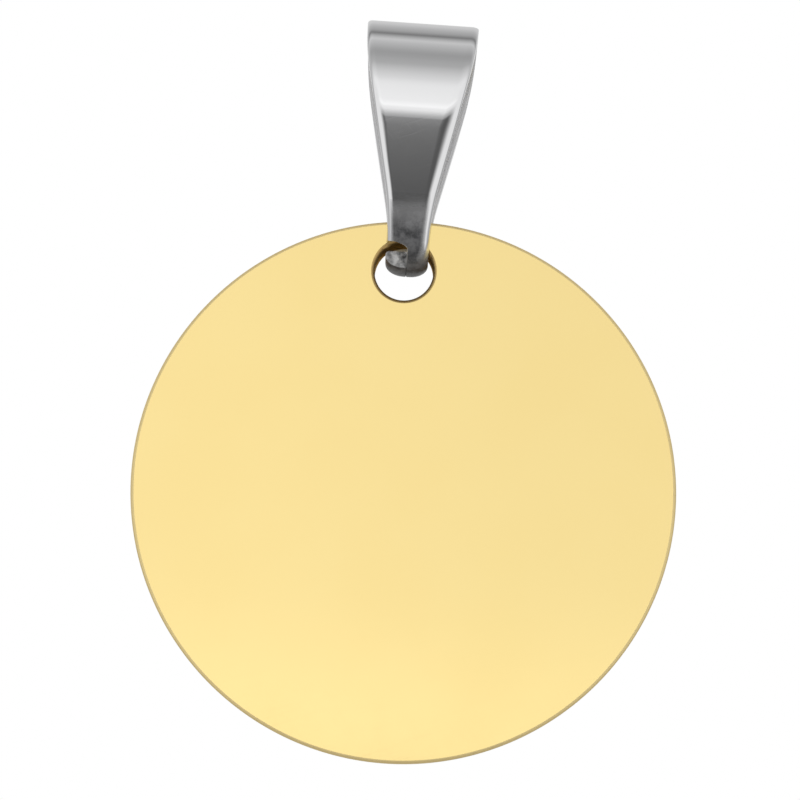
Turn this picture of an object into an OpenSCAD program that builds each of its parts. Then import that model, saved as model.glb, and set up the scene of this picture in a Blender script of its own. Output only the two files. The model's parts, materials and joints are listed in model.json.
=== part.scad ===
// Round dog tag pendant: a drilled disc hung on a folded strap bail.
// Front faces -Y, +Z is up. The origin is the spot under the bail's crown that a chain bears on.

/* [Tag disc] */
// Diameter of the tag
disc_d = 25; // [24:0.5:28]
// Thickness of the tag
disc_t = 1.6; // [1.4:0.1:1.7]
// Radius of the round along the rim
rim_round = 0.15; // [0.1:0.05:0.3]
// Diameter of the drilled hole
hole_d = 2.74; // [2.7:0.02:2.8]
// Width of the bevel round the hole's mouths
hole_bevel = 0.15; // [0.1:0.05:0.2]
// Width of the metal left between the hole and the rim
hole_wall = 1.01; // [0.95:0.01:1.15]

/* [Bail strap] */
// Thickness of the strap
strap_t = 0.75; // [0.6:0.05:0.8]
// Width of the strap over the crown
crown_w = 5.25; // [4.8:0.05:5.4]
// Width of the two tongues side by side
tongue_pair_w = 2; // [1.8:0.05:2]
// Gap between the two tongues
seam = 0.06; // [0.04:0.01:0.08]
// How strongly the outer edges are bevelled, 1 as polished
bevel_scale = 1; // [0.6:0.05:1]

/* [Bail loop] */
// Inner radius of the bend that carries the tag
bend_r = 1.11; // [1.11:0.01:1.3]
// Angle that each leg leans outwards
leg_splay = 13; // [10:0.5:15]
// Length of the straight leg
leg_len = 5.45; // [4.8:0.05:5.6]
// Radius of the shoulders, down the middle of the strap
shoulder_r = 6.65; // [6:0.05:8]
// Inward lean where the shoulder meets the crown
shoulder_turn = 10; // [6:1:14]
// How far the edges close in for each millimetre down the straight leg
taper = 0.21; // [0.18:0.01:0.22]
// How far each tongue curls up on the far side of the tag
tongue_curl = 27; // [20:1:36]
// How far the tongues' ends are cut out of square, towards upright
tip_cut = 27; // [0:1:30]

/* [Hang] */
// Height of the bend's axis over the top of the hole
axis_over_hole = 0.43; // [0.4:0.01:0.48]
// Sideways lean of the bail, top to the right
bail_lean = 3.9; // [0:0.1:4]
// How far the bail sits to the right of the hole's middle
bail_aside = 0.09; // [0:0.01:0.1]

/* [Hidden] */

$fn = 128;
// How far a cut runs past the face it starts from
past = 1;

// Steps along each stretch of the strap, from a tongue's tip to the top of the crown
bend_steps = 16;
notch_steps = 8;
leg_steps = 9;
shoulder_steps = 8;
crown_steps = 20;
edge_steps = 3;

hole_r = hole_d / 2;
hole_offset = disc_d / 2 - hole_wall - hole_r;

// Strap's middle line. The bend's axis is the zero of height on it.
half_t = strap_t / 2;
bend_mid_r = bend_r + half_t;
foot_y = -bend_mid_r * cos(leg_splay);
foot_z = -bend_mid_r * sin(leg_splay);
knee_y = foot_y - leg_len * sin(leg_splay);
knee_z = foot_z + leg_len * cos(leg_splay);
crown_mid_r = (-knee_y - shoulder_r * (cos(leg_splay) - cos(shoulder_turn))) / cos(shoulder_turn);
shoulder_axis_y = knee_y + shoulder_r * cos(leg_splay);
shoulder_axis_z = knee_z + shoulder_r * sin(leg_splay);
crown_axis_z = shoulder_axis_z + (shoulder_r - crown_mid_r) * sin(shoulder_turn);
crown_under_z = crown_axis_z + crown_mid_r - half_t;
crown_top_z = crown_under_z + strap_t;

// Half widths: the edges run straight up the leg, and round over to the crown's width in this height
fan_h = 3.45;
fan_foot_z = crown_top_z - fan_h;
tongue_half_w = tongue_pair_w / 2;
// The straight taper meets the tongues' width over this height
taper_blend = 0.5;

// One half of each leg ends this far round the bend, in a notch with a round inner corner
notch_turn = 19;
notch_h = 0.3;
notch_bevel = 0.05;

// The polished edges by height over the bend's axis. The outer bevel's width on the left and right edge
// is a share of the strap's half width there. Its depth and the round of the inner edges are shares of
// the strap's thickness.
edge_height = 0;
edge_left = 1;
edge_right = 2;
edge_depth = 3;
edge_inner = 4;
edge_rows = [
    [-1.4, 0.88, 0.82, 0.74, 0.24],
    [-0.5, 0.44, 0.52, 0.45, 0.27],
    [0.6, 0.33, 0.47, 0.32, 0.21],
    [3, 0.25, 0.42, 0.27, 0.16],
    [4.6, 0.25, 0.4, 0.24, 0.16],
    [6.5, 0.15, 0.2, 0.19, 0.16],
    [10, 0.08, 0.13, 0.15, 0.13]
];
function edge(z, column) = lookup(z, [for (r = edge_rows) [r[edge_height], r[column]]]);

// From the bend's axis down to the middle of the hole, and up to the chain's seat
axis_to_hole = axis_over_hole + hole_r;
seat_z = crown_under_z / cos(bail_lean);

function lerp(a, b, k) = a + (b - a) * k;

// Straight taper below the fan, never narrower than the tongues, with a soft change at the tongues
function leg_half_w(z) =
    let (
        straight = crown_w / 2 - taper * fan_h / 2 - taper * (fan_foot_z - z),
        over = straight - tongue_half_w
    )
    over > taper_blend / 2 ? straight
    : over < -taper_blend / 2 ? tongue_half_w
    : tongue_half_w + pow(over + taper_blend / 2, 2) / (2 * taper_blend);
function half_w(z) =
    z > fan_foot_z
    ? crown_w / 2 - taper * pow(crown_top_z - z, 2) / (2 * fan_h)
    : leg_half_w(z);

// One stop on the strap's middle line of the front half:
// place as y and z, the way the outside faces as an angle from -Y up, how far the notch has closed,
// and how far the section is turned out of square about its outside
stop_y = 0;
stop_z = 1;
stop_facing = 2;
stop_notch = 3;
stop_cut = 4;
bend_stops = [
    for (i = [0 : bend_steps])
        let (facing = lerp(-90 - tongue_curl, -leg_splay - notch_turn, i / bend_steps))
        [-bend_mid_r * cos(facing), bend_mid_r * sin(facing), facing, 1, i == 0 ? tip_cut : 0]
];
// The notch closes along a quarter curve, so its edge runs square across and turns up the seam
notch_arc = notch_h / bend_mid_r * 180 / PI;
notch_stops = [
    for (i = [1 : notch_steps])
        let (
            sweep = 90 * i / notch_steps,
            facing = -leg_splay - notch_turn + notch_arc * sin(sweep)
        )
        [-bend_mid_r * cos(facing), bend_mid_r * sin(facing), facing, cos(sweep), 0]
];
leg_stops = [
    for (i = [0 : leg_steps])
        let (share = i / leg_steps)
        [lerp(foot_y, knee_y, share), lerp(foot_z, knee_z, share), -leg_splay, 0, 0]
];
shoulder_stops = [
    for (i = [1 : shoulder_steps])
        let (facing = lerp(-leg_splay, shoulder_turn, i / shoulder_steps))
        [
            shoulder_axis_y - shoulder_r * cos(facing),
            shoulder_axis_z + shoulder_r * sin(facing),
            facing, 0, 0
        ]
];
crown_stops = [
    for (i = [1 : crown_steps])
        let (facing = lerp(shoulder_turn, 90, i / crown_steps))
        [-crown_mid_r * cos(facing), crown_axis_z + crown_mid_r * sin(facing), facing, 0, 0]
];
front_stops = concat(bend_stops, notch_stops, leg_stops, shoulder_stops, crown_stops);

// A rounded corner of the strap's section, from its side wall to its face, as across and out.
// w and h are how far the round reaches across the face and down the wall.
function corner(side, wall, face, w, h) = [
    for (i = [0 : edge_steps])
        let (turn = 90 * i / edge_steps)
        [wall - side * w * (1 - cos(turn)), face - sign(face) * h * (1 - sin(turn))]
];
function flip(points) = [for (i = [len(points) - 1 : -1 : 0]) points[i]];

// The front half is notched on its left and its right side runs on as a tongue.
// The rear half is the other way round.
function ring(stop, rear) =
    let (
        z = stop[stop_z],
        w = half_w(z),
        closed = stop[stop_notch],
        closed_left = rear ? 0 : closed,
        closed_right = rear ? closed : 0,
        left = lerp(-w, seam / 2, closed_left),
        right = lerp(w, -seam / 2, closed_right),
        bevel_left = lerp(bevel_scale * w * edge(z, edge_left), notch_bevel, closed_left),
        bevel_right = lerp(bevel_scale * w * edge(z, edge_right), notch_bevel, closed_right),
        depth = bevel_scale * strap_t * edge(z, edge_depth),
        depth_left = lerp(depth, notch_bevel, closed_left),
        depth_right = lerp(depth, notch_bevel, closed_right),
        inner = strap_t * edge(z, edge_inner),
        inner_left = lerp(inner, notch_bevel, closed_left),
        inner_right = lerp(inner, notch_bevel, closed_right),
        facing = stop[stop_facing],
        turned = facing + stop[stop_cut],
        outside_y = stop[stop_y] - half_t * cos(facing),
        outside_z = z + half_t * sin(facing),
        side = rear ? -1 : 1,
        outline = concat(
            corner(1, right, half_t, bevel_right, depth_right),
            flip(corner(-1, left, half_t, bevel_left, depth_left)),
            corner(-1, left, -half_t, inner_left, inner_left),
            flip(corner(1, right, -half_t, inner_right, inner_right))
        )
    )
    [
        for (p = outline)
            let (inside = half_t - p[1])
            [p[0], side * (outside_y + inside * cos(turned)), outside_z - inside * sin(turned)]
    ];

module sweep(rings) {
    n = len(rings[0]);
    last = len(rings) - 1;
    sides = [
        for (i = [0 : last - 1], j = [0 : n - 1])
            let (a = i * n + j, b = i * n + (j + 1) % n)
            each [[a, b, b + n], [a, b + n, a + n]]
    ];
    caps = [
        [for (j = [n - 1 : -1 : 0]) j],
        [for (j = [0 : n - 1]) last * n + j]
    ];
    polyhedron([for (r = rings) each r], concat(sides, caps), convexity = 6);
}

// Puts what is drawn about the bend's axis where it hangs, leaned over to the right
module hung() {
    translate([0, 0, -seat_z])
        rotate([0, bail_lean, 0])
            children();
}

module rim_profile() {
    straight_r = disc_d / 2 - rim_round;
    for (side = [-1, 1])
        translate([straight_r, side * (disc_t / 2 - rim_round)])
            circle(rim_round);
    translate([0, -disc_t / 2])
        square([straight_r, disc_t]);
    translate([0, rim_round - disc_t / 2])
        square([disc_d / 2, disc_t - 2 * rim_round]);
}

// Straight through the tag, opening out at both faces
module hole_profile() {
    mouth = hole_r + hole_bevel + past;
    polygon([
        [0, -disc_t / 2 - past],
        [mouth, -disc_t / 2 - past],
        [hole_r, hole_bevel - disc_t / 2],
        [hole_r, disc_t / 2 - hole_bevel],
        [mouth, disc_t / 2 + past],
        [0, disc_t / 2 + past]
    ]);
}

module tag_disc() {
    color("khaki")
        hung()
            translate([-bail_aside, 0, -axis_to_hole])
                rotate([0, -bail_lean, 0])
                    rotate([90, 0, 0])
                        difference() {
                            translate([0, -hole_offset, 0])
                                rotate_extrude()
                                    rim_profile();
                            rotate_extrude()
                                hole_profile();
                        }
}

module bail() {
    front = [for (s = front_stops) ring(s, false)];
    rear = [for (s = front_stops) ring(s, true)];
    color("lightsteelblue")
        hung()
            sweep(concat(front, [for (i = [len(rear) - 2 : -1 : 0]) rear[i]]));
}

tag_disc();
bail();
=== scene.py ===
"""Round tag pendant: the modelled disc and bail, their finishes, the stage, the light and the camera.

Everything is in metres in the pendant's own frame: the front faces -Y, +Z is up, and the origin is
the spot under the bail's crown that a chain bears on.
"""
import json
import logging
import math
from dataclasses import dataclass, field, replace
from enum import Enum
from typing import Callable

import bmesh
import bpy
from mathutils import Euler, Matrix, Vector


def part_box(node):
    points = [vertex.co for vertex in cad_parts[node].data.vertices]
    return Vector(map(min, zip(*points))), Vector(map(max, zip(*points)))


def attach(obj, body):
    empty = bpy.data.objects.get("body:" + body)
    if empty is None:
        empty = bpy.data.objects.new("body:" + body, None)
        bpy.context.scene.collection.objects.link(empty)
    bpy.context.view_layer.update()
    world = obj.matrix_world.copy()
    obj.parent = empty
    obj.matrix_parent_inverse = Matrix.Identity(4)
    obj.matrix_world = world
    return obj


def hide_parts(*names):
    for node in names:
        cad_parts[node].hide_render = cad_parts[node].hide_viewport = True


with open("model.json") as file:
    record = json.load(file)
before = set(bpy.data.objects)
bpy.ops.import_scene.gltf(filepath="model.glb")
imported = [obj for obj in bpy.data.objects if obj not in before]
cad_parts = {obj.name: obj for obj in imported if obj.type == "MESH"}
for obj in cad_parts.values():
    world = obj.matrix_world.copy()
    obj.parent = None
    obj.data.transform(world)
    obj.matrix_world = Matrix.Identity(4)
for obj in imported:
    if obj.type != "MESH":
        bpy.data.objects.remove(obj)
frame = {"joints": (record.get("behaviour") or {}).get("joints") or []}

log = logging.getLogger("pendant")
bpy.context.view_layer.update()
MM = 0.001
# Points nearer than this are one point, in metres
MERGE_DISTANCE = 1e-6
QUARTER_TURN = 90
# The largest faces alone set the normals of a weighted piece
FULL_WEIGHT = 100
# Corners of a face between two stops, where a tongue's end has many more
QUAD = 4
# A mix node's colour sockets, by number because its other kinds use the same names
MIX_A = 6
MIX_B = 7
MIX_RESULT = 2

Colour = tuple[float, float, float]
Socket = bpy.types.NodeSocket
Span = tuple[float, float]


class Half(Enum):
    """The two halves of the bail's strap, as seen from the front."""

    FRONT = "front"
    REAR = "rear"


class Look(Enum):
    """The surfaces that get a finish of their own."""

    PLATED_FACE = "plated_face"
    DRILLED_WALL = "drilled_wall"
    POLISHED_STEEL = "polished_steel"
    BRUSHED_INSIDE = "brushed_inside"
    SHEARED_END = "sheared_end"


DISC_LOOKS = (Look.PLATED_FACE, Look.DRILLED_WALL)
BAIL_LOOKS = (Look.POLISHED_STEEL, Look.SHEARED_END, Look.BRUSHED_INSIDE)


def mix(a: float, b: float, share: float) -> float:
    """Returns the value that lies at share of the way from a to b."""
    return a + (b - a) * share


def fade(value: float, low: float, high: float) -> float:
    """Returns 1 at or under low, 0 at or over high, and a straight run between them."""
    return min(max((high - value) / (high - low), 0), 1)


def deselect_all() -> None:
    """Leaves nothing selected and nothing active."""
    for obj in bpy.context.selected_objects:
        obj.select_set(False)
    bpy.context.view_layer.objects.active = None


@dataclass
class Workpiece:
    """A mesh object on the bench, with the few moves that each piece is worked with."""

    obj: bpy.types.Object

    @classmethod
    def of_active(cls, name: str) -> "Workpiece":
        """Takes the primitive that was just added.

        Args:
            name: the piece's name.

        Returns:
            The workpiece.
        """
        obj = bpy.context.object
        obj.name = name
        obj.data.name = name
        return cls(obj)

    def edit(self) -> None:
        """Opens the mesh with nothing selected."""
        bpy.ops.object.mode_set(mode="EDIT")
        bpy.ops.mesh.select_all(action="DESELECT")

    def close(self) -> None:
        """Goes back to object mode."""
        bpy.ops.object.mode_set(mode="OBJECT")

    def mesh(self) -> bmesh.types.BMesh:
        """Returns the open edit mesh."""
        return bmesh.from_edit_mesh(self.obj.data)

    def update(self) -> None:
        """Shows what was changed in the open edit mesh."""
        bmesh.update_edit_mesh(self.obj.data)

    def select_edges(self, test: Callable[[bmesh.types.BMEdge], bool]) -> None:
        """Selects only the edges that pass a test.

        Args:
            test: tells whether an edge is wanted.
        """
        bpy.ops.mesh.select_mode(type="EDGE")
        bpy.ops.mesh.select_all(action="DESELECT")
        for edge in self.mesh().edges:
            if test(edge):
                edge.select = True
        self.update()

    def select_faces(self, test: Callable[[bmesh.types.BMFace], bool]) -> None:
        """Selects only the faces that pass a test.

        Args:
            test: tells whether a face is wanted.
        """
        bpy.ops.mesh.select_mode(type="FACE")
        bpy.ops.mesh.select_all(action="DESELECT")
        for face in self.mesh().faces:
            if test(face):
                face.select = True
        self.update()

    def settle(self) -> None:
        """Applies the object's place, so that it sits at the origin and the mesh holds the place."""
        bpy.ops.object.transform_apply(location=True, rotation=True, scale=True)

    def outward(self) -> None:
        """Merges doubles and turns every face outwards, in edit mode."""
        bpy.ops.mesh.select_all(action="SELECT")
        bpy.ops.mesh.remove_doubles(threshold=MERGE_DISTANCE)
        bpy.ops.mesh.normals_make_consistent(inside=False)

    def smooth(self, angle: float) -> None:
        """Shades the piece smooth with flats kept truly flat.

        Args:
            angle: edges sharper than this stay sharp, in degrees.
        """
        bpy.ops.object.shade_smooth_by_angle(angle=math.radians(angle))
        weighted = self.obj.modifiers.new("true_flats", "WEIGHTED_NORMAL")
        weighted.mode = "FACE_AREA"
        weighted.weight = FULL_WEIGHT
        weighted.keep_sharp = True
        bpy.ops.object.modifier_apply(modifier=weighted.name)

    def dress(self, materials: list[bpy.types.Material]) -> None:
        """Hangs the finishes in the piece's material slots, in order.

        Args:
            materials: one material for each material index in the mesh.
        """
        for material in materials:
            self.obj.data.materials.append(material)


@dataclass
class Hang:
    """Where the bail's bend and the tag's middle are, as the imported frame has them."""

    bend_axis: Vector = field(default_factory=lambda: Vector(frame["joints"][0]["pos_m"]))
    swing_axis: Vector = field(default_factory=lambda: Vector(frame["joints"][0]["axis"]))

    def lean(self) -> float:
        """Returns the bail's sideways lean, top to the right, in radians."""
        return math.atan2(-self.swing_axis.z, self.swing_axis.x)

    def on_bail(self, across: float, out: float, up: float) -> Vector:
        """Places a point that is given about the bend's axis in millimetres.

        Args:
            across: to the viewer's right.
            out: towards the back.
            up: up the bail.

        Returns:
            The point in the pendant's frame, in metres.
        """
        turned = Matrix.Rotation(self.lean(), 3, "Y") @ Vector((across, out, up))
        return self.bend_axis + turned * MM


@dataclass
class TagDisc:
    """The round blank tag with its one drilled hole. Sizes in millimetres, angles in degrees.

    A slack is how much longer a distance may measure, because the mesh rounds it. A flat face's normal
    has at least flat_facing of its length along the disc's axis.
    """

    rim_round: float = 0.15
    hole_d: float = 2.74
    hole_bevel: float = 0.15
    hole_wall: float = 1.01
    segments: int = 256
    rim_steps: int = 8
    bevel_steps: int = 1
    flat_margin: float = 0.02
    flat_facing: float = 0.999
    hole_slack: float = 1.001
    rim_slack: float = 1.01
    sharp_angle: float = 50

    def __post_init__(self) -> None:
        """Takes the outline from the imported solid."""
        low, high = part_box("tag_disc")
        self.middle = (low + high) / 2
        self.radius = (high.x - low.x) / 2
        self.thickness = high.y - low.y
        self.front_y = low.y
        drop = self.radius - (self.hole_wall + self.hole_d / 2) * MM
        self.hole_middle = self.middle + Vector((0, 0, drop))

    def hole_distance(self, point: Vector) -> float:
        """Returns how far a point lies from the hole's axis, in metres."""
        return math.hypot(point.x - self.hole_middle.x, point.z - self.hole_middle.z)

    def rim_distance(self, point: Vector) -> float:
        """Returns how far a point lies inside the rim, in metres."""
        return self.radius - math.hypot(point.x - self.middle.x, point.z - self.middle.z)

    def build(self) -> Workpiece:
        """Models the disc: two circles bridged to a face, thickened, and its edges rounded.

        Returns:
            The finished disc.
        """
        deselect_all()
        upright = (math.radians(QUARTER_TURN), 0, 0)
        front = Vector((self.middle.x, self.front_y, self.middle.z))
        bpy.ops.mesh.primitive_circle_add(
            vertices=self.segments, radius=self.radius, location=front, rotation=upright
        )
        disc = Workpiece.of_active("tag")
        disc.settle()
        disc.edit()
        bpy.ops.mesh.primitive_circle_add(
            vertices=self.segments,
            radius=self.hole_d / 2 * MM,
            location=(self.hole_middle.x, self.front_y, self.hole_middle.z),
            rotation=upright,
        )
        bpy.ops.mesh.select_all(action="SELECT")
        bpy.ops.mesh.bridge_edge_loops()
        bpy.ops.mesh.select_all(action="SELECT")
        bpy.ops.mesh.extrude_region_move(
            TRANSFORM_OT_translate={"value": (0, self.thickness, 0)}
        )
        disc.outward()
        self.round_edges(disc)
        self.frame_flats(disc)
        disc.close()
        self.mark_surfaces(disc)
        disc.smooth(self.sharp_angle)
        return disc

    def round_edges(self, disc: Workpiece) -> None:
        """Rounds the rim and bevels the hole's mouths, in edit mode.

        Args:
            disc: the thickened disc, open in edit mode.
        """
        bore = self.hole_d / 2 * MM * self.hole_slack

        def on_face(edge: bmesh.types.BMEdge) -> bool:
            """Tells whether an edge lies in one of the two faces."""
            return abs(edge.verts[0].co.y - edge.verts[1].co.y) < MERGE_DISTANCE

        def on_rim(edge: bmesh.types.BMEdge) -> bool:
            """Tells whether an edge runs round a face's outside."""
            return on_face(edge) and all(self.rim_distance(v.co) < MERGE_DISTANCE for v in edge.verts)

        def on_mouth(edge: bmesh.types.BMEdge) -> bool:
            """Tells whether an edge runs round one of the hole's mouths."""
            return on_face(edge) and all(self.hole_distance(v.co) < bore for v in edge.verts)

        disc.select_edges(on_rim)
        bpy.ops.mesh.bevel(offset=self.rim_round * MM, segments=self.rim_steps, affect="EDGES")
        disc.select_edges(on_mouth)
        bpy.ops.mesh.bevel(offset=self.hole_bevel * MM, segments=self.bevel_steps, affect="EDGES")

    def frame_flats(self, disc: Workpiece) -> None:
        """Sets a narrow flat loop inside both faces' edges, so that the faces shade truly flat.

        Args:
            disc: the disc, open in edit mode.
        """
        disc.select_faces(lambda face: abs(face.normal.y) > self.flat_facing)
        bpy.ops.mesh.inset(thickness=self.flat_margin * MM, depth=0)

    def mark_surfaces(self, disc: Workpiece) -> None:
        """Gives the drilled hole its own material index, and marks the rim's round and the bore, which
        take the edge colour: a painted highlight on the rim and painted shade in the bore.

        Args:
            disc: the modelled disc.
        """
        mesh = disc.obj.data
        bore = self.hole_d / 2 * MM * self.hole_slack
        mouth = (self.hole_d / 2 + self.hole_bevel) * MM * self.hole_slack
        round_end = self.rim_round * MM * self.rim_slack
        for face in mesh.polygons:
            if self.hole_distance(face.center) < mouth:
                face.material_index = DISC_LOOKS.index(Look.DRILLED_WALL)
        # edge: 1 on the rim's round and in the bore, where the edge colour lays a painted highlight on
        # the rim and painted shade in the bore
        edge = mesh.attributes.new("edge", "FLOAT", "POINT").data
        for vertex in mesh.vertices:
            on_round = self.rim_distance(vertex.co) < round_end
            in_bore = self.hole_distance(vertex.co) < bore
            edge[vertex.index].value = float(on_round or in_bore)


@dataclass(frozen=True)
class Stop:
    """One stop on the strap's middle line of a half, about the bend's axis, in millimetres.

    The section there is turned out of square about its outside by the cut, in degrees.
    """

    out: float
    up: float
    facing: float
    closed: float
    half: Half
    cut: float = 0


@dataclass(frozen=True)
class EdgeRow:
    """The polished edges at one height over the bend's axis.

    The widths are shares of the strap's half width there, and the other two of its thickness.
    """

    height: float
    left: float
    right: float
    depth: float
    inner: float


@dataclass
class Bail:
    """The folded strap that carries the tag. Sizes in millimetres, angles in degrees."""

    hang: Hang
    strap_t: float = 0.75
    crown_w: float = 5.25
    tongue_pair_w: float = 2
    seam: float = 0.01
    bend_r: float = 1.11
    leg_splay: float = 13
    leg_len: float = 5.45
    shoulder_r: float = 6.65
    shoulder_turn: float = 10
    taper: float = 0.21
    tongue_curl: float = 27
    tip_cut: float = 27
    fan_h: float = 3.45
    taper_blend: float = 0.5
    notch_turn: float = 19
    notch_h: float = 0.3
    notch_bevel: float = 0.04
    bend_steps: int = 44
    notch_steps: int = 16
    leg_steps: int = 16
    shoulder_steps: int = 26
    crown_steps: int = 52
    edge_steps: int = 12
    edge_crowding: float = 1.35
    wall_nearness: float = 0.4
    # Where the bend's painted dark reflection lies: the heights it fades out over, the heights under
    # which it covers the edges too, and the edge nearness it fades off over
    bend_shade_span: Span = (0.0, 1.3)
    edge_shade_span: Span = (-1.5, -0.95)
    shade_nearness: Span = (0.1, 0.3)
    flat_margin: float = 0.03
    sharp_angle: float = 60
    edge_rows: tuple[EdgeRow, ...] = (
        EdgeRow(-1.4, 0.88, 0.82, 0.74, 0.24),
        EdgeRow(-0.5, 0.44, 0.52, 0.45, 0.27),
        EdgeRow(0.6, 0.33, 0.47, 0.32, 0.21),
        EdgeRow(3, 0.25, 0.42, 0.27, 0.16),
        EdgeRow(4.6, 0.25, 0.4, 0.24, 0.16),
        EdgeRow(6.5, 0.15, 0.2, 0.19, 0.16),
        EdgeRow(10, 0.08, 0.13, 0.15, 0.13),
    )

    def __post_init__(self) -> None:
        """Works out the strap's middle line from its driving sizes."""
        splay = math.radians(self.leg_splay)
        turn = math.radians(self.shoulder_turn)
        self.half_t = self.strap_t / 2
        self.bend_mid_r = self.bend_r + self.half_t
        self.foot = (-self.bend_mid_r * math.cos(splay), -self.bend_mid_r * math.sin(splay))
        self.knee = (
            self.foot[0] - self.leg_len * math.sin(splay),
            self.foot[1] + self.leg_len * math.cos(splay),
        )
        drawn_in = self.shoulder_r * (math.cos(splay) - math.cos(turn))
        self.crown_mid_r = (-self.knee[0] - drawn_in) / math.cos(turn)
        self.shoulder_axis = (
            self.knee[0] + self.shoulder_r * math.cos(splay),
            self.knee[1] + self.shoulder_r * math.sin(splay),
        )
        over = (self.shoulder_r - self.crown_mid_r) * math.sin(turn)
        self.crown_axis_up = self.shoulder_axis[1] + over
        self.crown_top = self.crown_axis_up + self.crown_mid_r + self.half_t

    def half_w(self, up: float) -> float:
        """Gives the strap's half width.

        Args:
            up: height over the bend's axis.

        Returns:
            Half the width: rounding in under the crown, straight down the leg, never under the tongues'.
        """
        fan_foot = self.crown_top - self.fan_h
        if up > fan_foot:
            return self.crown_w / 2 - self.taper * (self.crown_top - up) ** 2 / (2 * self.fan_h)
        straight = self.crown_w / 2 - self.taper * self.fan_h / 2 - self.taper * (fan_foot - up)
        tongue = self.tongue_pair_w / 2
        over = straight - tongue
        if over > self.taper_blend / 2:
            return straight
        if over < -self.taper_blend / 2:
            return tongue
        return tongue + (over + self.taper_blend / 2) ** 2 / (2 * self.taper_blend)

    def edge_row(self, up: float) -> EdgeRow:
        """Gives the edges' sizes at a height.

        Args:
            up: height over the bend's axis.

        Returns:
            The row at that height, between the two rows of the table that it lies between.
        """
        rows = self.edge_rows
        if up <= rows[0].height:
            return rows[0]
        for low, high in zip(rows, rows[1:]):
            if up <= high.height:
                share = (up - low.height) / (high.height - low.height)
                return EdgeRow(
                    up,
                    mix(low.left, high.left, share),
                    mix(low.right, high.right, share),
                    mix(low.depth, high.depth, share),
                    mix(low.inner, high.inner, share),
                )
        return rows[-1]

    def arc_stop(self, axis: tuple[float, float], radius: float, facing: float, closed: float) -> Stop:
        """Puts a stop on an arc of the front half.

        Args:
            axis: the arc's centre, as out and up.
            radius: the arc's radius.
            facing: which way the strap's outside faces there, as an angle from the front up.
            closed: how far the notch has closed, from 0 to 1.

        Returns:
            The stop.
        """
        angle = math.radians(facing)
        out = axis[0] - radius * math.cos(angle)
        up = axis[1] + radius * math.sin(angle)
        return Stop(out, up, facing, closed, Half.FRONT)

    def front_stops(self) -> list[Stop]:
        """Sets the stops up the front half.

        Returns:
            The stops, from the front half's tongue's tip to the top of the crown.
        """
        notch_foot = -self.leg_splay - self.notch_turn
        tip = -QUARTER_TURN - self.tongue_curl
        stops = [
            self.arc_stop((0, 0), self.bend_mid_r, mix(tip, notch_foot, i / self.bend_steps), 1)
            for i in range(self.bend_steps + 1)
        ]
        stops[0] = replace(stops[0], cut=self.tip_cut)
        notch_arc = math.degrees(self.notch_h / self.bend_mid_r)
        for i in range(1, self.notch_steps + 1):
            sweep = math.radians(QUARTER_TURN * i / self.notch_steps)
            facing = notch_foot + notch_arc * math.sin(sweep)
            stops.append(self.arc_stop((0, 0), self.bend_mid_r, facing, math.cos(sweep)))
        for i in range(self.leg_steps + 1):
            share = i / self.leg_steps
            out = mix(self.foot[0], self.knee[0], share)
            up = mix(self.foot[1], self.knee[1], share)
            stops.append(Stop(out, up, -self.leg_splay, 0, Half.FRONT))
        for i in range(1, self.shoulder_steps + 1):
            facing = mix(-self.leg_splay, self.shoulder_turn, i / self.shoulder_steps)
            stops.append(self.arc_stop(self.shoulder_axis, self.shoulder_r, facing, 0))
        for i in range(1, self.crown_steps + 1):
            facing = mix(self.shoulder_turn, QUARTER_TURN, i / self.crown_steps)
            stops.append(self.arc_stop((0, self.crown_axis_up), self.crown_mid_r, facing, 0))
        return stops

    def stops(self) -> list[Stop]:
        """Sets all the strap's stops.

        Returns:
            The stops, up the front half, over the crown and down the rear half.
        """
        front = self.front_stops()
        rear = [replace(stop, half=Half.REAR) for stop in reversed(front[:-1])]
        return front + rear

    def corner(
        self, side: int, wall: float, face: float, width: float, depth: float
    ) -> list[tuple[float, float, float]]:
        """Draws one rounded corner of the strap's section, with a narrow flat at both ends.

        Args:
            side: 1 for the right wall and -1 for the left one.
            wall: where the side wall is, across.
            face: where the strap's face is, out.
            width: how far the round reaches across the face.
            depth: how far it reaches down the wall.

        Returns:
            Points as across, out and nearness to an edge, from the wall to the face.
        """
        sign = math.copysign(1, face)
        points = [(wall, face - sign * (depth + self.flat_margin), self.wall_nearness)]
        for i in range(self.edge_steps + 1):
            turn = math.radians(QUARTER_TURN * (i / self.edge_steps) ** self.edge_crowding)
            across = wall - side * width * (1 - math.cos(turn))
            out = face - sign * depth * (1 - math.sin(turn))
            points.append((across, out, 1 - i / self.edge_steps))
        points.append((wall - side * (width + self.flat_margin), face, 0))
        return points

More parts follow.
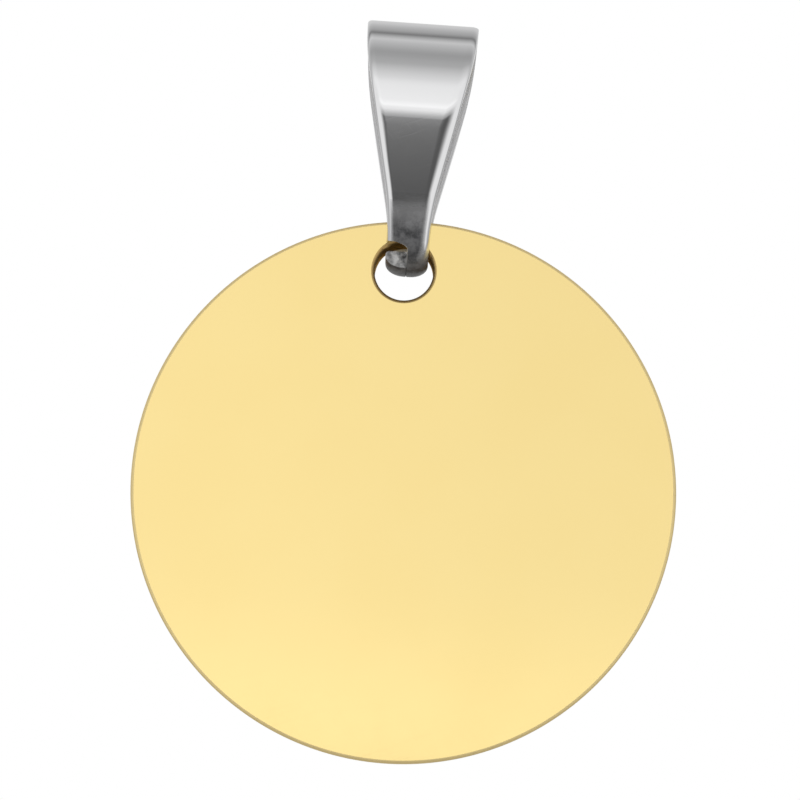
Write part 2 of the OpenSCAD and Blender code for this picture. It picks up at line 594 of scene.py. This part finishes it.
    def section(self, stop: Stop) -> list[tuple[Vector, float]]:
        """Draws the strap's section at a stop.

        Args:
            stop: the stop.

        Returns:
            Each corner's place in the pendant's frame, with its nearness to an edge.
        """
        w = self.half_w(stop.up)
        row = self.edge_row(stop.up)
        closed_left = stop.closed if stop.half is Half.FRONT else 0
        closed_right = stop.closed if stop.half is Half.REAR else 0
        left = mix(-w, self.seam / 2, closed_left)
        right = mix(w, -self.seam / 2, closed_right)
        bevel_left = mix(w * row.left, self.notch_bevel, closed_left)
        bevel_right = mix(w * row.right, self.notch_bevel, closed_right)
        depth = self.strap_t * row.depth
        inner = self.strap_t * row.inner
        depth_left = mix(depth, self.notch_bevel, closed_left)
        depth_right = mix(depth, self.notch_bevel, closed_right)
        inner_left = mix(inner, self.notch_bevel, closed_left)
        inner_right = mix(inner, self.notch_bevel, closed_right)
        outline = [
            *self.corner(1, right, self.half_t, bevel_right, depth_right),
            *reversed(self.corner(-1, left, self.half_t, bevel_left, depth_left)),
            *self.corner(-1, left, -self.half_t, inner_left, inner_left),
            *reversed(self.corner(1, right, -self.half_t, inner_right, inner_right)),
        ]
        angle = math.radians(stop.facing)
        turned = math.radians(stop.facing + stop.cut)
        outside = (
            stop.out - self.half_t * math.cos(angle),
            stop.up + self.half_t * math.sin(angle),
        )
        side = 1 if stop.half is Half.FRONT else -1
        return [
            (
                self.hang.on_bail(
                    across,
                    side * (outside[0] + (self.half_t - out) * math.cos(turned)),
                    outside[1] - (self.half_t - out) * math.sin(turned),
                ),
                edge,
            )
            for across, out, edge in outline
        ]

    def place_ring(self, strap: Workpiece, section: list[tuple[Vector, float]]) -> None:
        """Moves the selected ring of vertices to a section of the strap.

        Args:
            strap: the strap, open in edit mode.
            section: each corner's place and its nearness to an edge.
        """
        mesh = strap.mesh()
        number = mesh.verts.layers.int["corner"]
        edge = mesh.verts.layers.float["edge"]
        for vertex in mesh.verts:
            if vertex.select:
                vertex.co, vertex[edge] = section[vertex[number]]
        strap.update()

    def build(self) -> Workpiece:
        """Models the strap: its section is drawn once and extruded from stop to stop.

        Returns:
            The finished bail.
        """
        deselect_all()
        sections = [self.section(stop) for stop in self.stops()]
        bpy.ops.mesh.primitive_circle_add(
            vertices=len(sections[0]), radius=self.strap_t * MM, fill_type="NGON"
        )
        strap = Workpiece.of_active("bail_strap")
        strap.settle()
        strap.edit()
        mesh = strap.mesh()
        number = mesh.verts.layers.int.new("corner")
        mesh.verts.layers.float.new("edge")
        for place, vertex in enumerate(mesh.verts):
            vertex[number] = place
        bpy.ops.mesh.select_all(action="SELECT")
        self.place_ring(strap, sections[0])
        for section in sections[1:]:
            bpy.ops.mesh.extrude_region_move()
            self.place_ring(strap, section)
        strap.outward()
        strap.close()
        self.mark_surfaces(strap)
        strap.smooth(self.sharp_angle)
        return strap

    def mark_surfaces(self, strap: Workpiece) -> None:
        """Gives the tongues' ends and the strap's inside their own index, and marks where the bend's
        painted dark reflection goes.

        Args:
            strap: the modelled strap.
        """
        mesh = strap.obj.data
        number = mesh.attributes["corner"].data
        outer_points = 2 * len(self.corner(1, 0, self.half_t, 0, 0))
        for face in mesh.polygons:
            if face.loop_total > QUAD:
                face.material_index = BAIL_LOOKS.index(Look.SHEARED_END)
            elif all(number[vertex].value >= outer_points for vertex in face.vertices):
                face.material_index = BAIL_LOOKS.index(Look.BRUSHED_INSIDE)
        # bend: how much of the painted dark reflection a point takes, off the edges and low on the strap
        bend = mesh.attributes.new("bend", "FLOAT", "POINT").data
        edge = mesh.attributes["edge"].data
        for vertex in mesh.vertices:
            up = (vertex.co.z - self.hang.bend_axis.z) / MM
            off_edge = fade(edge[vertex.index].value, *self.shade_nearness)
            cover = max(off_edge, fade(up, *self.edge_shade_span))
            bend[vertex.index].value = cover * fade(up, *self.bend_shade_span)


@dataclass
class NodeBoard:
    """A node tree with short ways to add and join nodes."""

    tree: bpy.types.NodeTree
    column: int = 0
    column_width: int = 220

    def add(self, kind: str, **settings: object) -> bpy.types.Node:
        """Adds a node.

        Args:
            kind: the node's type.
            settings: attributes to set on it.

        Returns:
            The node.
        """
        node = self.tree.nodes.new(kind)
        node.location = (self.column * self.column_width, 0)
        self.column += 1
        for name, value in settings.items():
            setattr(node, name, value)
        return node

    def group(self, tree: bpy.types.NodeTree, **given: object) -> bpy.types.Node:
        """Places an effect group with its own values.

        Args:
            tree: the group.
            given: its inputs by name.

        Returns:
            The group's node.
        """
        node = self.add("ShaderNodeGroup", node_tree=tree)
        for name, value in given.items():
            self.feed(node.inputs[name], value)
        return node

    def feed(self, socket: Socket, value: object) -> None:
        """Links an output to an input, or sets the input's own value.

        Args:
            socket: the input.
            value: an output socket, or a plain value.
        """
        if isinstance(value, Socket):
            self.tree.links.new(value, socket)
        else:
            socket.default_value = value

    def math(self, operation: str, *values: object, clamp: bool = False) -> Socket:
        """Adds a math node.

        Args:
            operation: the math node's operation.
            values: its inputs, as outputs or numbers.
            clamp: keeps the result from 0 to 1.

        Returns:
            The result.
        """
        node = self.add("ShaderNodeMath", operation=operation, use_clamp=clamp)
        for socket, value in zip(node.inputs, values):
            self.feed(socket, value)
        return node.outputs[0]

    def blend(self, share: object, a: object, b: object, way: str = "MIX") -> Socket:
        """Mixes two colours.

        Args:
            share: how much of b shows, from 0 to 1.
            a: the first colour.
            b: the second colour.
            way: the mix node's way of mixing.

        Returns:
            The mixed colour.
        """
        node = self.add("ShaderNodeMix", data_type="RGBA", blend_type=way)
        self.feed(node.inputs["Factor"], share)
        self.feed(node.inputs[MIX_A], a)
        self.feed(node.inputs[MIX_B], b)
        return node.outputs[MIX_RESULT]

    def grey(self, value: object) -> Socket:
        """Makes a grey from a value.

        Args:
            value: how bright it is.

        Returns:
            The grey as a colour.
        """
        node = self.add("ShaderNodeCombineColor")
        for socket in node.inputs:
            self.feed(socket, value)
        return node.outputs[0]

    def noise(self, place: object, scale: object, detail: float, roughness: float) -> Socket:
        """Adds a noise texture.

        Args:
            place: the coordinates that it reads.
            scale: cells per metre.
            detail: how many finer layers it has.
            roughness: how strong the finer layers are.

        Returns:
            The noise as a value.
        """
        node = self.add("ShaderNodeTexNoise")
        self.feed(node.inputs["Vector"], place)
        self.feed(node.inputs["Scale"], scale)
        node.inputs["Detail"].default_value = detail
        node.inputs["Roughness"].default_value = roughness
        return node.outputs["Fac"]

    def span(self, value: object, limits: Span, results: Span = (0, 1)) -> Socket:
        """Remaps a value softly, clamped at both ends.

        Args:
            value: what is remapped.
            limits: the two values that become the two results.
            results: what they become.

        Returns:
            The remapped value.
        """
        node = self.add("ShaderNodeMapRange", interpolation_type="SMOOTHSTEP")
        for socket, given in zip(node.inputs, (value, *limits, *results)):
            self.feed(socket, given)
        return node.outputs[0]

    def relief(self, height: object, distance: float, normal: Socket | None = None) -> Socket:
        """Adds a bump.

        Args:
            height: how high the surface stands, as a share of the distance.
            distance: the bump's full height, in metres.
            normal: the normal that it is laid over, or None for the bare surface's.

        Returns:
            The new normal.
        """
        node = self.add("ShaderNodeBump")
        node.inputs["Distance"].default_value = distance
        self.feed(node.inputs["Height"], height)
        if normal is not None:
            self.feed(node.inputs["Normal"], normal)
        return node.outputs[0]


@dataclass
class EffectGroup:
    """A shader node group that several finishes share, with named inputs and outputs."""

    name: str
    inputs: dict[str, str]
    outputs: dict[str, str]

    def open(self) -> tuple[NodeBoard, bpy.types.Node, bpy.types.Node]:
        """Makes the empty group.

        Returns:
            Its board, its input node and its output node.
        """
        tree = bpy.data.node_groups.new(self.name, "ShaderNodeTree")
        for way, sockets in (("INPUT", self.inputs), ("OUTPUT", self.outputs)):
            for label, kind in sockets.items():
                tree.interface.new_socket(label, in_out=way, socket_type=f"NodeSocket{kind}")
        board = NodeBoard(tree)
        return board, board.add("NodeGroupInput"), board.add("NodeGroupOutput")


@dataclass
class Effects:
    """The wear that polished metal shows, each built once and placed in each finish; on the disc the
    edge mask also lays a painted highlight on the rim and painted shade in the bore.

    Turns are in degrees. The others say which part of a noise shows, or how much of it counts.
    """

    line_turns: tuple[float, ...] = (17, -38, 74)
    line_shows: Span = (0.58, 0.74)
    smudge_shows: Span = (0.36, 0.66)
    smudge_fineness: float = 6
    smudge_fine_share: float = 0.35
    tone_shows: Span = (0.3, 0.7)
    wear_breaks: Span = (0.3, 0.7)
    wear_reach: Span = (0.92, 1.15)
    wear_shows: Span = (0.45, 1.05)

    def __post_init__(self) -> None:
        """Builds the groups."""
        self.hairlines = self.build_hairlines()
        self.handling = self.build_handling()
        self.edge_wear_and_light = self.build_edge_wear_and_light()

    def build_hairlines(self) -> bpy.types.NodeTree:
        """Builds the fine polishing scratches: fans of hairlines laid over each other.

        Returns:
            The group, with how deep a spot is scratched and whether a line runs there.
        """
        group = EffectGroup(
            "hairline_scratches",
            {"Place": "Vector", "Fineness": "Float", "Length": "Float"},
            {"Height": "Float", "Lines": "Float"},
        )
        board, given, result = group.open()
        total = 0.0
        for turn in self.line_turns:
            turned = board.add("ShaderNodeMapping", vector_type="TEXTURE")
            board.feed(turned.inputs["Vector"], given.outputs["Place"])
            turned.inputs["Rotation"].default_value = (0, math.radians(turn), 0)
            parts = board.add("ShaderNodeSeparateXYZ")
            board.feed(parts.inputs[0], turned.outputs[0])
            squeezed = board.add("ShaderNodeCombineXYZ")
            squeezes = [given.outputs[name] for name in ("Fineness", "Length", "Length")]
            for part, squeeze, target in zip(parts.outputs, squeezes, squeezed.inputs):
                board.feed(target, board.math("MULTIPLY", part, squeeze))
            grain = board.noise(squeezed.outputs[0], 1.0, detail=2, roughness=0.6)
            total = board.math("ADD", board.span(grain, self.line_shows), total)
        board.feed(result.inputs["Height"], board.math("MULTIPLY", total, -1))
        board.feed(result.inputs["Lines"], board.math("MINIMUM", total, 1))
        return board.tree

    def build_handling(self) -> bpy.types.NodeTree:
        """Builds the soft smudges that handling leaves on a polish. Its noise also mottles the bend's
        painted dark reflection, and its tone lays the painted dark patches on the cut ends.

        Returns:
            The group, with how smudged a spot is and which of the two tones it has.
        """
        group = EffectGroup(
            "handling_smudges",
            {"Place": "Vector", "Size": "Float"},
            {"Smudge": "Float", "Tone": "Float"},
        )
        board, given, result = group.open()
        place, size = given.outputs["Place"], given.outputs["Size"]
        wide = board.noise(place, size, detail=3, roughness=0.5)
        fine_size = board.math("MULTIPLY", size, self.smudge_fineness)
        fine = board.noise(place, fine_size, detail=4, roughness=0.65)
        wide_part = board.math("MULTIPLY", wide, 1 - self.smudge_fine_share)
        both = board.math("MULTIPLY_ADD", fine, self.smudge_fine_share, wide_part)
        board.feed(result.inputs["Smudge"], board.span(both, self.smudge_shows))
        board.feed(result.inputs["Tone"], board.span(wide, self.tone_shows))
        return board.tree

    def build_edge_wear_and_light(self) -> bpy.types.NodeTree:
        """Builds the mask that comes with nearness to an edge: wear, and on the disc a painted highlight
        on the rim and painted shade in the bore.

        Returns:
            The group, with how much of the edge colour and roughness a spot takes.
        """
        group = EffectGroup(
            "edge_wear_and_light",
            {"Place": "Vector", "Edge": "Float", "Size": "Float"},
            {"WearAndLight": "Float"},
        )
        board, given, result = group.open()
        broken = board.noise(given.outputs["Place"], given.outputs["Size"], detail=4, roughness=0.6)
        reach = board.span(broken, self.wear_breaks, self.wear_reach)
        reached = board.math("MULTIPLY", given.outputs["Edge"], reach)
        board.feed(result.inputs["WearAndLight"], board.span(reached, self.wear_shows))
        return board.tree


@dataclass(frozen=True)
class BendShade:
    """The painted dark reflection in the strap's bend, mottled between two greys: it stands in for the
    dark room that the polished bend mirrors, on duller, less metallic steel.

    Its greys take over before its dullness does, so that its edge neither glows nor goes dark.
    """

    # The two greys of the painted dark reflection
    pale: Colour = (0.12, 0.12, 0.123)
    dark: Colour = (0.03, 0.03, 0.032)
    metallic: float = 0.05
    roughness: float = 0.28
    take_over: float = 0.42
    size: float = 1700.0


@dataclass(frozen=True)
class MetalFinish:
    """One metal surface. Colours are linear, sizes are per metre, heights in metres."""

    look: Look
    colour: Colour
    tone: Colour
    # Colour under the edge mask: wear, and on the disc a painted highlight on the rim and painted shade
    # in the bore
    wear_and_light_colour: Colour
    roughness: float
    worn_roughness: float
    smudged: float
    scratch_height: float
    scratch_fineness: float
    scratch_length: float
    scratch_dulling: float = 0.6
    pit_height: float = 0.0
    pit_size: float = 7000.0
    wear_size: float = 2250.0
    smudge_size: float = 160.0
    grazing_tint: Colour = (1.0, 1.0, 1.0)
    # The bend's painted dark reflection, for a finish that has one
    bend_shade: BendShade | None = None

    def material(self, effects: Effects) -> bpy.types.Material:
        """Builds the material.

        Args:
            effects: the shared wear.

        Returns:
            The material.
        """
        material = bpy.data.materials.new(self.look.value)
        material.use_nodes = True
        material.node_tree.nodes.clear()
        board = NodeBoard(material.node_tree)
        place = board.add("ShaderNodeTexCoord").outputs["Object"]
        edge = board.add("ShaderNodeAttribute", attribute_name="edge").outputs["Fac"]
        fineness, length = self.scratch_fineness, self.scratch_length
        lines = board.group(effects.hairlines, Place=place, Fineness=fineness, Length=length).outputs
        smudge = board.group(effects.handling, Place=place, Size=self.smudge_size).outputs
        edge_mask = board.group(effects.edge_wear_and_light, Place=place, Edge=edge, Size=self.wear_size)
        wear_and_light = edge_mask.outputs["WearAndLight"]
        toned = board.blend(smudge["Tone"], (*self.colour, 1), (*self.tone, 1))
        # Edge colour: a painted highlight on the disc's rim and painted shade in its bore, wear
        # elsewhere
        colour = board.blend(wear_and_light, toned, (*self.wear_and_light_colour, 1))
        smeared = board.math("MULTIPLY_ADD", smudge["Smudge"], self.smudged, self.roughness)
        dulled = board.math("MULTIPLY_ADD", wear_and_light, self.worn_roughness, smeared)
        metallic = 1.0
        # The bend's painted dark reflection: a mottled grey in place of the dark room that the steel
        # mirrors
        if self.bend_shade:
            colour, dulled, metallic = self.paint_bend_shade(board, effects, place, colour, dulled)
        scratched = board.math("MULTIPLY", lines["Lines"], self.smudged * self.scratch_dulling)
        normal = board.relief(lines["Height"], self.scratch_height)
        if self.pit_height:
            pits = board.noise(place, self.pit_size, detail=5, roughness=0.65)
            normal = board.relief(pits, self.pit_height, normal)
        shader = board.add("ShaderNodeBsdfPrincipled")
        shader.inputs["Specular Tint"].default_value = (*self.grazing_tint, 1)
        board.feed(shader.inputs["Metallic"], metallic)
        board.feed(shader.inputs["Base Color"], colour)
        board.feed(shader.inputs["Roughness"], board.math("ADD", dulled, scratched, clamp=True))
        board.feed(shader.inputs["Normal"], normal)
        output = board.add("ShaderNodeOutputMaterial")
        board.feed(output.inputs["Surface"], shader.outputs[0])
        return material

    def paint_bend_shade(
        self, board: NodeBoard, effects: Effects, place: Socket, colour: Socket, dulled: Socket
    ) -> tuple[Socket, Socket, Socket]:
        """Lays the bend's painted dark reflection over the metal.

        Args:
            board: the material's board.
            effects: the shared wear.
            place: the coordinates that the painted grey's mottle reads.
            colour: the bare metal's colour.
            dulled: the bare metal's roughness.

        Returns:
            The colour, the roughness and the metallic share with the painted dark reflection on.
        """
        bend_paint = self.bend_shade
        bend = board.add("ShaderNodeAttribute", attribute_name="bend").outputs["Fac"]
        shade_mottle = board.group(effects.handling, Place=place, Size=bend_paint.size)
        mottled = board.blend(shade_mottle.outputs["Smudge"], (*bend_paint.pale, 1), (*bend_paint.dark, 1))
        greyed = board.math("POWER", bend, bend_paint.take_over)
        return (
            board.blend(greyed, colour, mottled),
            board.math("MULTIPLY_ADD", bend, bend_paint.roughness, dulled),
            board.math("MULTIPLY_ADD", bend, bend_paint.metallic - 1, 1),
        )


FINISHES = (
    MetalFinish(
        look=Look.PLATED_FACE,
        colour=(0.965, 0.765, 0.335),
        tone=(0.96, 0.755, 0.325),
        # The rim's round is brighter gold: a painted highlight
        wear_and_light_colour=(1.0, 0.82, 0.42),
        roughness=0.07,
        worn_roughness=0.5,
        smudged=0.03,
        scratch_height=2e-7,
        scratch_fineness=16000,
        scratch_length=350,
    ),
    MetalFinish(
        look=Look.DRILLED_WALL,
        # Painted shade: the drilled wall's colours are darker than the face's, and darkest in the bore
        colour=(0.84, 0.62, 0.27),
        tone=(0.72, 0.5, 0.2),
        wear_and_light_colour=(0.48, 0.34, 0.15),
        roughness=0.42,
        worn_roughness=0.05,
        smudged=0.12,
        scratch_height=3e-7,
        scratch_fineness=9000,
        scratch_length=700,
        grazing_tint=(0.8, 0.52, 0.2),
    ),
    MetalFinish(
        look=Look.POLISHED_STEEL,
        colour=(0.83, 0.83, 0.835),
        tone=(0.815, 0.817, 0.825),
        wear_and_light_colour=(0.8, 0.8, 0.805),
        roughness=0.04,
        worn_roughness=0.12,
        smudged=0.03,
        scratch_height=8e-8,
        scratch_fineness=14000,
        scratch_length=400,
        # The bend gets the painted dark reflection
        bend_shade=BendShade(),
    ),
    MetalFinish(
        look=Look.BRUSHED_INSIDE,
        colour=(0.83, 0.83, 0.835),
        tone=(0.79, 0.79, 0.8),
        wear_and_light_colour=(0.8, 0.8, 0.805),
        roughness=0.55,
        worn_roughness=0.0,
        smudged=0.1,
        scratch_height=1e-6,
        scratch_fineness=9000,
        scratch_length=500,
    ),
    MetalFinish(
        look=Look.SHEARED_END,
        colour=(0.7, 0.695, 0.69),
        # Painted shade: near-black patches mottled over the cut end stand in for its shaded pit
        tone=(0.06, 0.06, 0.06),
        wear_and_light_colour=(0.75, 0.75, 0.75),
        roughness=0.5,
        worn_roughness=0.1,
        smudged=0.15,
        scratch_height=8e-6,
        scratch_fineness=12000,
        scratch_length=1500,
        pit_height=2.5e-5,
        wear_size=1750,
        smudge_size=2500,
    ),
)


@dataclass(frozen=True)
class SkyBand:
    """How bright the studio is in one direction of the upright plane through the pendant.

    The angle runs from the front horizon up over the top to the back, and down below to -180 degrees.
    """

    angle: float
    brightness: float


@dataclass
class Studio:
    """The room round the pendant: soft light from all round with a dark front below eye level.

    The floor and the lamp are in millimetres and watts. The surroundings' spans are parts of a unit
    vector that points at a spot of the room: across to the right, back and up.
    """

    floor_z: float = -60
    floor_radius: float = 240
    floor_vertices: int = 128
    floor_grey: float = 0.78
    floor_shade: float = 0.97
    floor_mottle: float = 90
    floor_roughness: float = 0.9
    lamp_energy: float = 1.1
    lamp_size: float = 260
    lamp_place: tuple[float, float, float] = (-120, -180, 260)
    tilt_span: Span = (-0.1, 0.1)
    tilt: Span = (1.025, 0.97)
    side_span: Span = (0.5, 0.92)
    side_rise: Span = (-0.3, 0.05)
    side_grey: Span = (0.36, 0.55)
    box_span: Span = (0.14, 0.5)
    box_foot: Span = (-0.75, -0.45)
    box_head: Span = (0.05, 0.35)
    box_back: Span = (-0.35, 0.1)
    box_end: Span = (0.82, 1.0)
    box_light: Span = (0.9, 0.45)
    bands: tuple[SkyBand, ...] = (
        SkyBand(-180, 0.72),
        SkyBand(-130, 0.55),
        SkyBand(-52, 0.4),
        SkyBand(-20, 0.06),
        SkyBand(-14, 0.08),
        SkyBand(-12.3, 0.116),
        SkyBand(-10.2, 0.104),
        SkyBand(-9.3, 0.27),
        SkyBand(-8.7, 0.41),
        SkyBand(-7.2, 0.5),
        SkyBand(-4.9, 0.74),
        SkyBand(-3.1, 0.95),
        SkyBand(-1, 0.99),
        SkyBand(0.1, 1.14),
        SkyBand(1.3, 1.09),
        SkyBand(3.9, 1.0),
        SkyBand(16, 0.95),
        SkyBand(18.8, 0.907),
        SkyBand(21.3, 0.82),
        SkyBand(26, 0.71),
        SkyBand(31, 0.564),
        SkyBand(33.4, 0.478),
        SkyBand(41, 0.412),
        SkyBand(49, 0.389),
        SkyBand(55, 0.429),
        SkyBand(70.7, 0.592),
        SkyBand(77, 0.68),
        SkyBand(83.2, 0.53),
        SkyBand(92.5, 0.23),
        SkyBand(101.8, 0.42),
        SkyBand(129.7, 0.66),
        SkyBand(180, 0.72),
    )

    def build_floor(self) -> None:
        """Models the pale round floor, which only the camera and the lamp see."""
        deselect_all()
        bpy.ops.mesh.primitive_circle_add(
            vertices=self.floor_vertices,
            radius=self.floor_radius * MM,
            fill_type="NGON",
            location=(0, 0, self.floor_z * MM),
        )
        floor = Workpiece.of_active("floor")
        floor.settle()
        floor.obj.visible_glossy = False
        material = bpy.data.materials.new("pale_floor")
        material.use_nodes = True
        board = NodeBoard(material.node_tree)
        shader = material.node_tree.nodes["Principled BSDF"]
        place = board.add("ShaderNodeTexCoord").outputs["Object"]
        mottle = board.noise(place, self.floor_mottle, detail=4, roughness=0.5)
        light, shade = self.floor_grey, self.floor_grey * self.floor_shade
        board.feed(
            shader.inputs["Base Color"],
            board.blend(mottle, (light, light, light, 1), (shade, shade, shade, 1)),
        )
        shader.inputs["Roughness"].default_value = self.floor_roughness
        floor.dress([material])

    def build_lamp(self) -> None:
        """Hangs the one soft lamp that gives the floor its shadow."""
        light = bpy.data.lights.new("soft_lamp", "AREA")
        light.energy = self.lamp_energy
        light.shape = "DISK"
        light.size = self.lamp_size * MM
        lamp = bpy.data.objects.new("soft_lamp", light)
        lamp.location = Vector(self.lamp_place) * MM
        aim = Vector((0, 0, self.floor_z * MM)) - lamp.location
        lamp.rotation_euler = aim.to_track_quat("-Z", "Y").to_euler()
        lamp.visible_camera = False
        lamp.visible_glossy = False
        bpy.context.scene.collection.objects.link(lamp)

    def build_world(self) -> None:
        """Paints the soft surroundings that the metal mirrors, with plain white behind the pendant."""
        world = bpy.data.worlds.new("studio")
        bpy.context.scene.world = world
        world.use_nodes = True
        world.node_tree.nodes.clear()
        board = NodeBoard(world.node_tree)
        way = board.add("ShaderNodeSeparateXYZ")
        board.feed(way.inputs[0], board.add("ShaderNodeTexCoord").outputs["Generated"])
        across, depth, up = way.outputs
        angle = board.math("ARCTAN2", up, board.math("MULTIPLY", depth, -1))
        turn = board.math("MULTIPLY_ADD", angle, 1 / math.tau, 0.5)
        ramp = board.add("ShaderNodeValToRGB")
        board.feed(ramp.inputs[0], turn)
        self.paint_ramp(ramp.color_ramp)
        tilt = board.grey(board.span(across, self.tilt_span, self.tilt))
        tilted = board.blend(1, ramp.outputs["Color"], tilt, way="MULTIPLY")
        sideways = board.math("ABSOLUTE", across)
        side_wall = board.grey(board.span(up, self.side_rise, self.side_grey))
        room = board.blend(board.span(sideways, self.side_span), tilted, side_wall)
        over_foot = board.span(up, self.box_foot)
        under_head = board.span(up, self.box_head, (1, 0))
        level = board.math("MULTIPLY", over_foot, under_head)
        side_box = board.math("MULTIPLY", board.span(sideways, self.box_span), level)
        in_front = board.span(depth, self.box_back, (1, 0))
        box_share = board.math("MULTIPLY", side_box, in_front)
        box_light = board.grey(board.span(sideways, self.box_end, self.box_light))
        painted = board.blend(box_share, room, box_light)
        soft = board.add("ShaderNodeBackground")
        board.feed(soft.inputs["Color"], painted)
        plain = board.add("ShaderNodeBackground")
        plain.inputs["Color"].default_value = (1, 1, 1, 1)
        chosen = board.add("ShaderNodeMixShader")
        board.feed(chosen.inputs[0], board.add("ShaderNodeLightPath").outputs["Is Camera Ray"])
        board.feed(chosen.inputs[1], soft.outputs[0])
        board.feed(chosen.inputs[2], plain.outputs[0])
        output = board.add("ShaderNodeOutputWorld")
        board.feed(output.inputs["Surface"], chosen.outputs[0])

    def paint_ramp(self, ramp: bpy.types.ColorRamp) -> None:
        """Sets the ramp's stops from the sky bands.

        Args:
            ramp: the colour ramp over one full turn.
        """
        full_turn = 4 * QUARTER_TURN
        stops = [(band.angle / full_turn + 0.5, band.brightness) for band in self.bands]
        ramp.elements[0].position = stops[0][0]
        ramp.elements[1].position = stops[-1][0]
        for position, _ in stops[1:-1]:
            ramp.elements.new(position)
        for element, (_, level) in zip(ramp.elements, stops):
            element.color = (level, level, level, 1)

    def build(self) -> None:
        """Sets up the floor, the lamp, the surroundings and plain colour handling."""
        self.build_floor()
        self.build_lamp()
        self.build_world()
        bpy.context.scene.view_settings.view_transform = "Standard"


@dataclass
class Camera:
    """The camera at the photograph's place. Millimetres and degrees, for a square frame.

    What lies nearer or farther than its reach, in metres, isn't drawn.
    """

    place: tuple[float, float, float] = (-0.57, -100, -33.42)
    pitch: float = 9.15
    yaw: float = 0.11
    roll: float = 0.17
    sensor: float = 36
    lens: float = 98.2
    reach: Span = (0.001, 10)

    def build(self) -> None:
        """Sets the camera up."""
        data = bpy.data.cameras.new("camera")
        data.sensor_width = self.sensor
        data.lens = self.lens
        data.clip_start, data.clip_end = self.reach
        data.dof.use_dof = False
        camera = bpy.data.objects.new("camera", data)
        upright = math.radians(QUARTER_TURN + self.pitch)
        aim = Euler((upright, 0, math.radians(-self.yaw))).to_matrix()
        turned = aim @ Matrix.Rotation(math.radians(self.roll), 3, "Z")
        camera.rotation_euler = turned.to_euler()
        camera.location = Vector(self.place) * MM
        bpy.context.scene.collection.objects.link(camera)
        bpy.context.scene.camera = camera


def report(piece: Workpiece) -> None:
    """Logs a finished piece's name, faces and size.

    Args:
        piece: the piece.
    """
    size = piece.obj.dimensions / MM
    log.info(
        "%s: %d faces, %.2f x %.2f x %.2f mm", piece.obj.name, len(piece.obj.data.polygons), *size
    )


def main() -> None:
    """Builds the camera, the studio and the two pieces, and dresses them."""
    logging.basicConfig(level=logging.INFO, format="%(name)s: %(message)s")
    Camera().build()
    Studio().build()
    effects = Effects()
    materials = {finish.look: finish.material(effects) for finish in FINISHES}

    disc = TagDisc().build()
    disc.dress([materials[look] for look in DISC_LOOKS])
    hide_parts("tag_disc")
    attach(disc.obj, "tag_disc")
    report(disc)

    bail = Bail(Hang()).build()
    bail.dress([materials[look] for look in BAIL_LOOKS])
    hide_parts("bail")
    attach(bail.obj, "bail")
    report(bail)


if __name__ == "__main__":
    main()
